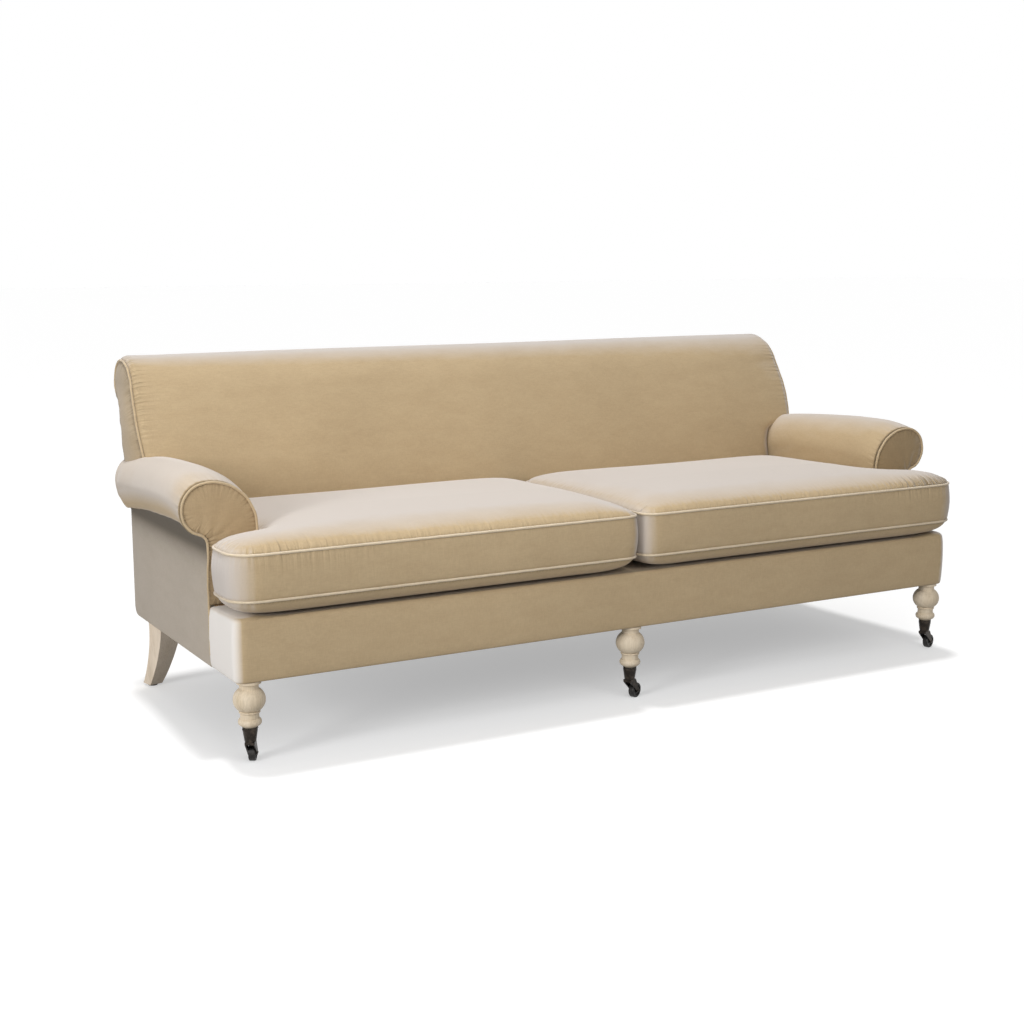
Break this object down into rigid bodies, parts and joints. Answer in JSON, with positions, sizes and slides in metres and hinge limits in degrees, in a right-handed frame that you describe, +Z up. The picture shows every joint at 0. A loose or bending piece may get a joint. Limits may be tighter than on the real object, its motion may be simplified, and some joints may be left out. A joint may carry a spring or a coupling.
{
  "type": "tight back sofa",
  "caption": "Tight back sofa with a scrolled back, low roll arms set behind T-shaped loose seat cushions, turned front legs on casters and sabre rear legs.",
  "frame": {"origin": "on the floor, under the middle of the whole sofa", "axes": "+X towards the sofa's right as seen from the front, +Y towards its back, +Z up"},
  "size_m": [2.2618, 0.976, 0.8747],
  "materials": {
    "cover_fabric": "beige velvet",
    "cushion_fabric": "beige velvet",
    "piping": "beige velvet welt",
    "limed_wood": "limed, matt",
    "frame_wood": "raw hardwood",
    "bronze": "dark bronze, satin",
    "steel": "plain wire",
    "glide": "matt",
    "dust_cloth": "black cloth"
  },
  "bodies": {
    "frame": {"back_centre_post": "frame_wood", "back_lower_rail": "frame_wood", "back_springs": "steel", "back_top_rail": "frame_wood", "centre_caster_cup": "bronze", "centre_cross_rail": "frame_wood", "centre_front_leg": "limed_wood", "centre_rear_leg": "limed_wood", "corner_blocks": "frame_wood", "cup_screws": "bronze", "dust_cover": "dust_cloth", "front_border": "cover_fabric", "front_rail": "frame_wood", "inside_back": "cover_fabric", "left_arm_facing": "cover_fabric", "left_arm_front_post": "frame_wood", "left_arm_piping": "piping", "left_arm_top_rail": "frame_wood", "left_arm_upholstery": "cover_fabric", "left_back_facing": "cover_fabric", "left_back_piping": "piping", "left_back_post": "frame_wood", "left_caster_cup": "bronze", "left_front_leg": "limed_wood", "left_outside_arm": "cover_fabric", "left_rear_leg": "limed_wood", "left_side_rail": "frame_wood", "leg_bolts": "steel", "outside_back": "cover_fabric", "rear_glides": "glide", "rear_rail": "frame_wood", "right_arm_facing": "cover_fabric", "right_arm_front_post": "frame_wood", "right_arm_piping": "piping", "right_arm_top_rail": "frame_wood", "right_arm_upholstery": "cover_fabric", "right_back_facing": "cover_fabric", "right_back_piping": "piping", "right_back_post": "frame_wood", "right_caster_cup": "bronze", "right_front_leg": "limed_wood", "right_outside_arm": "cover_fabric", "right_rear_leg": "limed_wood", "right_side_rail": "frame_wood", "seat_deck": "cover_fabric", "seat_springs": "steel"},
    "left_cushion": {"left_seat_cushion": "cushion_fabric", "left_cushion_piping": "piping"},
    "right_cushion": {"right_seat_cushion": "cushion_fabric", "right_cushion_piping": "piping"},
    "left_swivel": {"left_caster_fork": "bronze", "left_caster_axle": "bronze"},
    "left_wheel": {"left_caster_wheel": "bronze"},
    "centre_swivel": {"centre_caster_fork": "bronze", "centre_caster_axle": "bronze"},
    "centre_wheel": {"centre_caster_wheel": "bronze"},
    "right_swivel": {"right_caster_fork": "bronze", "right_caster_axle": "bronze"},
    "right_wheel": {"right_caster_wheel": "bronze"}
  },
  "joints": [
    {"name": "left_cushion_lift", "type": "slide", "parent": "frame", "child": "left_cushion", "axis": [0, 0, 1], "range_m": [0, 0.3]},
    {"name": "right_cushion_lift", "type": "slide", "parent": "frame", "child": "right_cushion", "axis": [0, 0, 1], "range_m": [0, 0.3]},
    {"name": "left_caster_swivel", "type": "hinge", "parent": "frame", "child": "left_swivel", "pos_m": [-1.03, -0.42675, 0], "axis": [0, 0, 1], "continuous": true},
    {"name": "left_wheel_roll", "type": "hinge", "parent": "left_swivel", "child": "left_wheel", "pos_m": [-1.0175, -0.4051, 0.0195], "axis": [-0.866, 0.5, 0], "continuous": true},
    {"name": "centre_caster_swivel", "type": "hinge", "parent": "frame", "child": "centre_swivel", "pos_m": [0, -0.42675, 0], "axis": [0, 0, 1], "continuous": true},
    {"name": "centre_wheel_roll", "type": "hinge", "parent": "centre_swivel", "child": "centre_wheel", "pos_m": [0.02284, -0.41658, 0.0195], "axis": [-0.4067, 0.9135, 0], "continuous": true},
    {"name": "right_caster_swivel", "type": "hinge", "parent": "frame", "child": "right_swivel", "pos_m": [1.03, -0.42675, 0], "axis": [0, 0, 1], "continuous": true},
    {"name": "right_wheel_roll", "type": "hinge", "parent": "right_swivel", "child": "right_wheel", "pos_m": [1.05391, -0.41944, 0.0195], "axis": [-0.2924, 0.9563, 0], "continuous": true}
  ]
}
